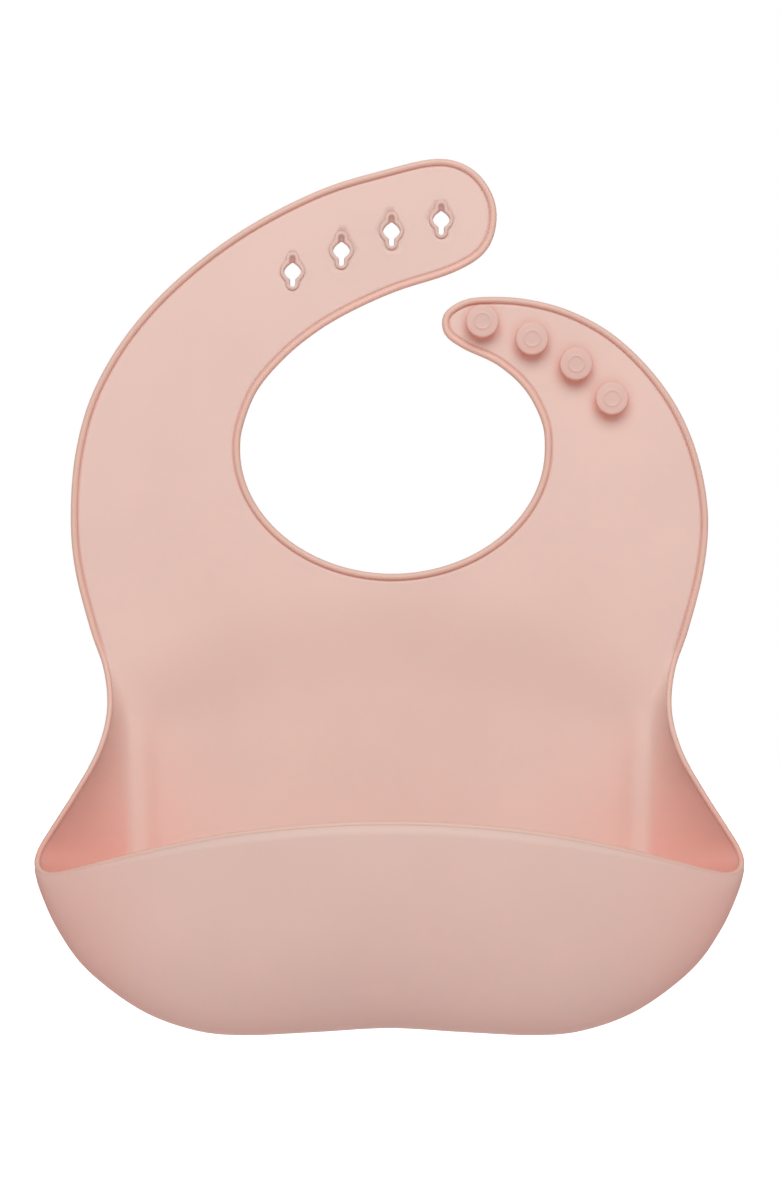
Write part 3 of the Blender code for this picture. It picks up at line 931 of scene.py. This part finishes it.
def near_seam(face_centre, index):
    """Only the faces that a seam plane is meant for are cut by it."""
    x, z = face_centre[0] / MM, face_centre[2] / MM
    stud = on_stud_strap(x, z)
    if index == HOLE_PLANE:
        return not stud and z > 0
    if index == STUD_PLANE:
        return stud and z > 0
    return True


def hold_through_and_painted_light(mesh, shares):
    held = mesh.attributes.new("through_and_painted_light", "FLOAT", "POINT")
    held.data.foreach_set("value", shares)


def split(vertices, faces, shares, suffix):
    """Cuts a mesh at the seams and returns {region: object}, with normals that match."""
    body = bmesh.new()
    layer = body.verts.layers.float.new("through_and_painted_light")
    verts = [body.verts.new(v) for v in vertices]
    for vert, share in zip(verts, shares):
        vert[layer] = share
    for face in faces:
        try:
            body.faces.new([verts[i] for i in face])
        except ValueError:
            pass
    loose = [v for v in body.verts if not v.link_faces]
    bmesh.ops.delete(body, geom=loose, context="VERTS")
    for index, (place, normal) in enumerate(cut_planes()):
        chosen = [f for f in body.faces if near_seam(f.calc_center_median(), index)]
        geometry = {*chosen}
        for face in chosen:
            geometry.update(face.verts)
            geometry.update(face.edges)
        bmesh.ops.bisect_plane(
            body,
            geom=list(geometry),
            dist=1e-7,
            plane_co=Vector(place) * MM,
            plane_no=Vector(normal),
        )
    body.normal_update()
    body.verts.index_update()
    groups = {}
    for face in body.faces:
        groups.setdefault(region(face.calc_center_median()), []).append(face)
    made = {}
    for name, members in groups.items():
        used = sorted({v.index for f in members for v in f.verts})
        number = {old: new for new, old in enumerate(used)}
        body.verts.ensure_lookup_table()
        mesh = bpy.data.meshes.new(name + suffix)
        mesh.from_pydata(
            [body.verts[i].co[:] for i in used],
            [],
            [[number[v.index] for v in f.verts] for f in members],
        )
        mesh.shade_smooth()
        hold_through_and_painted_light(mesh, [body.verts[i][layer] for i in used])
        mesh.normals_split_custom_set_from_vertices([body.verts[i].normal[:] for i in used])
        piece = bpy.data.objects.new(name + suffix, mesh)
        bpy.context.scene.collection.objects.link(piece)
        made[name] = piece
    body.free()
    return made


def lathe(name, profile, centre, turns=72):
    vertices, faces = [], []
    for radius, height in profile[1:]:
        for angle in np.arange(turns) * 2 * math.pi / turns:
            x = centre[0] + radius * math.cos(angle)
            z = centre[1] + radius * math.sin(angle)
            vertices.append((x, 2 * HALF_SHEET + height, z))
    crown = len(vertices)
    vertices.append((centre[0], 2 * HALF_SHEET + profile[0][1], centre[1]))
    for r in range(len(profile) - 2):
        for j in range(turns):
            k = (j + 1) % turns
            faces.append(
                [r * turns + j, r * turns + k, (r + 1) * turns + k, (r + 1) * turns + j]
            )
    for j in range(turns):
        faces.append([crown, (j + 1) % turns, j])
    bottom = (len(profile) - 2) * turns
    faces.append([bottom + j for j in range(turns)])
    return solid(name, to_world(vertices), faces, STUD_SHARE)


def solid(name, vertices, faces, share):
    body = bmesh.new()
    verts = [body.verts.new(v) for v in vertices]
    for face in faces:
        body.faces.new([verts[i] for i in face])
    bmesh.ops.recalc_face_normals(body, faces=body.faces)
    mesh = bpy.data.meshes.new(name)
    body.to_mesh(mesh)
    body.free()
    mesh.shade_smooth()
    hold_through_and_painted_light(mesh, [share] * len(mesh.vertices))
    piece = bpy.data.objects.new(name, mesh)
    bpy.context.scene.collection.objects.link(piece)
    return piece


def add_lip(number, centre):
    rings = [hole_contour(grow, centre, ANGLES, shut) for grow, _, shut in LIP_PROFILE]
    vertices, faces = [], []
    for ring, (_, depth, _) in zip(rings, LIP_PROFILE):
        vertices += [(x, depth, z) for x, z in ring]
    count = len(ANGLES)
    total = len(LIP_PROFILE)
    for r in range(total):
        for j in range(count):
            k, s = (j + 1) % count, (r + 1) % total
            faces.append([r * count + j, r * count + k, s * count + k, s * count + j])
    return solid(f"hole_lip_ring_{number}", to_world(vertices), faces, LIP_SHARE)


# Materials


def node(tree, kind, values=None, **settings):
    """A new node with its settings and, by name or number, its sockets' values."""
    made = tree.nodes.new("ShaderNode" + kind)
    for name, setting in settings.items():
        setattr(made, name, setting)
    for socket, value in (values or {}).items():
        made.inputs[socket].default_value = value
    return made


def link(tree, source, target):
    tree.links.new(source, target)


def cloudy_colour(tree, tone, place):
    """Slow clouds in the tone, and a few faint specks a few tenths of a millimetre across."""
    cloud = node(tree, "TexNoise", {"Scale": 22.0, "Detail": 4.0})
    link(tree, place, cloud.inputs["Vector"])
    ramp = node(tree, "ValToRGB")
    for element, position, factor in zip(ramp.color_ramp.elements, (0.3, 0.7), (0.972, 1.022)):
        element.position = position
        element.color = (*[min(1, c * factor) for c in tone], 1)
    link(tree, cloud.outputs["Fac"], ramp.inputs["Fac"])
    specks = node(tree, "TexVoronoi", {"Scale": 190.0})
    link(tree, place, specks.inputs["Vector"])
    dot = node(tree, "Math", {1: 0.035}, operation="LESS_THAN")
    link(tree, specks.outputs["Distance"], dot.inputs[0])
    chosen = node(tree, "SeparateColor")
    link(tree, specks.outputs["Color"], chosen.inputs["Color"])
    few = node(tree, "Math", {1: 0.93}, operation="GREATER_THAN")
    link(tree, chosen.outputs["Red"], few.inputs[0])
    both = node(tree, "Math", operation="MULTIPLY")
    link(tree, dot.outputs[0], both.inputs[0])
    link(tree, few.outputs[0], both.inputs[1])
    faint = node(tree, "Math", {1: 0.35}, operation="MULTIPLY")
    link(tree, both.outputs[0], faint.inputs[0])
    dusty = node(tree, "Mix", {"B": (0.86, 0.78, 0.74, 1)}, data_type="RGBA")
    link(tree, faint.outputs[0], dusty.inputs["Factor"])
    link(tree, ramp.outputs["Color"], dusty.inputs["A"])
    return dusty.outputs["Result"]


def satin(tree, sway, place):
    """Normals of the mould's satin: fine grain over slow unevenness."""
    grain = node(tree, "TexNoise", {"Scale": 2600.0, "Detail": 3.0})
    link(tree, place, grain.inputs["Vector"])
    fine = node(tree, "Bump", {"Strength": 0.12, "Distance": 0.00004})
    link(tree, grain.outputs["Fac"], fine.inputs["Height"])
    slow = node(tree, "Bump", {"Strength": 0.25, "Distance": 0.0003})
    link(tree, sway.outputs["Fac"], slow.inputs["Height"])
    link(tree, fine.outputs["Normal"], slow.inputs["Normal"])
    return slow.outputs["Normal"]


def silicone(name, tone, roughness=0.52):
    made = bpy.data.materials.new(name)
    made.use_nodes = True
    tree = made.node_tree
    shader = tree.nodes["Principled BSDF"]
    shader.inputs["Roughness"].default_value = roughness
    shader.inputs["IOR"].default_value = 1.41
    shader.inputs["Sheen Weight"].default_value = 0.12
    shader.inputs["Sheen Roughness"].default_value = 0.45
    place = node(tree, "TexCoord").outputs["Object"]
    link(tree, cloudy_colour(tree, tone, place), shader.inputs["Base Color"])
    sway = node(tree, "TexNoise", {"Scale": 60.0, "Detail": 2.0})
    link(tree, place, sway.inputs["Vector"])
    link(tree, satin(tree, sway, place), shader.inputs["Normal"])
    rough = node(tree, "MapRange", {"To Min": roughness - 0.05, "To Max": roughness + 0.06})
    link(tree, sway.outputs["Fac"], rough.inputs["Value"])
    link(tree, rough.outputs["Result"], shader.inputs["Roughness"])

    # thin silicone lets some light through, and what comes through is much redder; the share held
    # on the mesh also carries painted shade and light by region
    through = node(tree, "BsdfTranslucent", {"Color": (*THROUGH, 1)})
    held = node(tree, "Attribute", attribute_name="through_and_painted_light")
    mix = node(tree, "MixShader")
    link(tree, held.outputs["Fac"], mix.inputs["Fac"])
    link(tree, shader.outputs[0], mix.inputs[1])
    link(tree, through.outputs[0], mix.inputs[2])
    link(tree, mix.outputs[0], tree.nodes["Material Output"].inputs["Surface"])
    return made


# Scene


def add_camera():
    data = bpy.data.cameras.new("camera")
    camera = bpy.data.objects.new("camera", data)
    bpy.context.scene.collection.objects.link(camera)
    camera.location = CAMERA_AT
    camera.rotation_euler = (math.radians(90), 0, 0)
    data.sensor_fit = "VERTICAL"
    data.angle_y = math.radians(CAMERA_FOV)
    data.clip_start = 0.01
    bpy.context.scene.camera = camera


def area_light(name, place, target, size, power):
    data = bpy.data.lights.new(name, "AREA")
    data.shape = "RECTANGLE"
    data.size, data.size_y = size
    data.energy = power
    light = bpy.data.objects.new(name, data)
    light.location = place
    aim = Vector(target) - Vector(place)
    light.rotation_euler = aim.to_track_quat("-Z", "Y").to_euler()
    bpy.context.scene.collection.objects.link(light)
    light.visible_camera = False


def add_world():
    """White to the camera; as light, the room glows by a different amount from each side."""
    world = bpy.data.worlds.new("studio")
    bpy.context.scene.world = world
    world.use_nodes = True
    tree = world.node_tree
    tree.nodes.clear()
    white = (1, 1, 1, 1)
    seen = node(tree, "Background", {"Color": white, "Strength": 1.0})
    cast = node(tree, "Background", {"Color": white})
    coordinates = node(tree, "TexCoord")
    level = None
    for direction, strength in ROOM:
        facing = node(tree, "VectorMath", {1: direction}, operation="DOT_PRODUCT")
        link(tree, coordinates.outputs["Generated"], facing.inputs[0])
        lit = node(tree, "Math", {1: 0.0}, operation="MAXIMUM")
        link(tree, facing.outputs["Value"], lit.inputs[0])
        total = node(tree, "Math", {1: strength, 2: 0.0}, operation="MULTIPLY_ADD")
        link(tree, lit.outputs[0], total.inputs[0])
        if level:
            link(tree, level.outputs[0], total.inputs[2])
        level = total
    link(tree, level.outputs[0], cast.inputs["Strength"])
    mix = node(tree, "MixShader")
    link(tree, node(tree, "LightPath").outputs["Is Camera Ray"], mix.inputs["Fac"])
    link(tree, cast.outputs[0], mix.inputs[1])
    link(tree, seen.outputs[0], mix.inputs[2])
    link(tree, mix.outputs[0], node(tree, "OutputWorld").inputs["Surface"])


def add_floor():
    body = bmesh.new()
    bmesh.ops.create_circle(body, cap_ends=True, radius=3.0, segments=96)
    mesh = bpy.data.meshes.new("floor")
    body.to_mesh(mesh)
    body.free()
    floor = bpy.data.objects.new("floor", mesh)
    floor.location = (0, 0, FLOOR_AT)
    bpy.context.scene.collection.objects.link(floor)
    made = bpy.data.materials.new("pale_floor")
    made.use_nodes = True
    shader = made.node_tree.nodes["Principled BSDF"]
    shader.inputs["Base Color"].default_value = (0.9, 0.9, 0.9, 1)
    shader.inputs["Roughness"].default_value = 0.8
    shader.inputs["Emission Color"].default_value = (1, 1, 1, 1)
    shader.inputs["Emission Strength"].default_value = 0.9
    mesh.materials.append(made)
    floor.visible_diffuse = False
    floor.visible_glossy = False
    floor.visible_shadow = False


def paint(piece, material):
    piece.data.materials.append(material)


def main():
    sheet, bead = build()
    sheets = split(*sheet, "_sheet")
    beads = split(*bead, "_bead")
    sheet_look = silicone("silicone_sheet", TONE)
    bead_look = silicone("silicone_edge", EDGE_TONE, 0.48)
    stud_look = silicone("silicone_stud", TONE, 0.5)

    stands_for = {
        "hole_strap_end": (["hole_strap_tip"], ["hole_strap_tip_bead"]),
        "hole_strap_root": (
            ["hole_strap_base"],
            ["hole_strap_base_bead_outer", "hole_strap_base_bead_inner"],
        ),
        "stud_strap_end": (["stud_strap_tip"], ["stud_strap_tip_bead"]),
        "stud_strap_root": (
            ["stud_strap_base"],
            ["stud_strap_base_bead_outer", "stud_strap_base_bead_inner"],
        ),
        "chest": (
            ["chest_panel"],
            ["neckline_bead", "chest_bead_left", "chest_bead_right"],
        ),
        "pocket_back": (
            ["pocket_back_wall", "pocket_side_wall_left", "pocket_side_wall_right", "pocket_floor"],
            ["pocket_side_rim_left", "pocket_side_rim_right"],
        ),
        "pocket_front": (["pocket_front_wall"], ["pocket_rim"]),
    }
    shoulders = {
        "hole_strap_root": ("hole_strap_base", -77.0),
        "stud_strap_root": ("stud_strap_base", 77.5),
    }
    for kind, (pieces, look, slot) in enumerate(
        ((sheets, sheet_look, "sheet"), (beads, bead_look, "edge"))
    ):
        for name, piece in pieces.items():
            paint(piece, look)
            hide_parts(*stands_for[name][kind])
            if name == "chest":
                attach(piece, "chest")
            elif name in shoulders:
                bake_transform(piece)
            elif name == "hole_strap_end":
                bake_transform(piece)
            elif name == "stud_strap_end":
                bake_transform(piece)
            elif name == "pocket_back":
                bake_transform(piece)
            else:
                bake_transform(piece)

    for number, centre in enumerate(HOLES, 1):
        lip = add_lip(number, centre)
        paint(lip, sheet_look)
        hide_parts(f"hole_lip_{number}")
        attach(lip, "hole_strap_tip")
    carriers = ("stud_strap_tip", "stud_strap_tip", "stud_strap_base", "stud_strap_base")
    for number, (centre, carrier) in enumerate(zip(STUDS, carriers), 1):
        stud = lathe(f"stud_button_{number}", STUD_PROFILE, centre)
        paint(stud, stud_look)
        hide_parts(f"stud_{number}")
        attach(stud, carrier)

    add_camera()
    add_world()
    add_floor()
    area_light("softbox", SOFTBOX_AT, SOFTBOX_AIM, SOFTBOX_SIZE, SOFTBOX_POWER)
    scene = bpy.context.scene
    scene.view_settings.view_transform = "Standard"
    scene.view_settings.look = "None"
    scene.cycles.use_denoising = True


main()
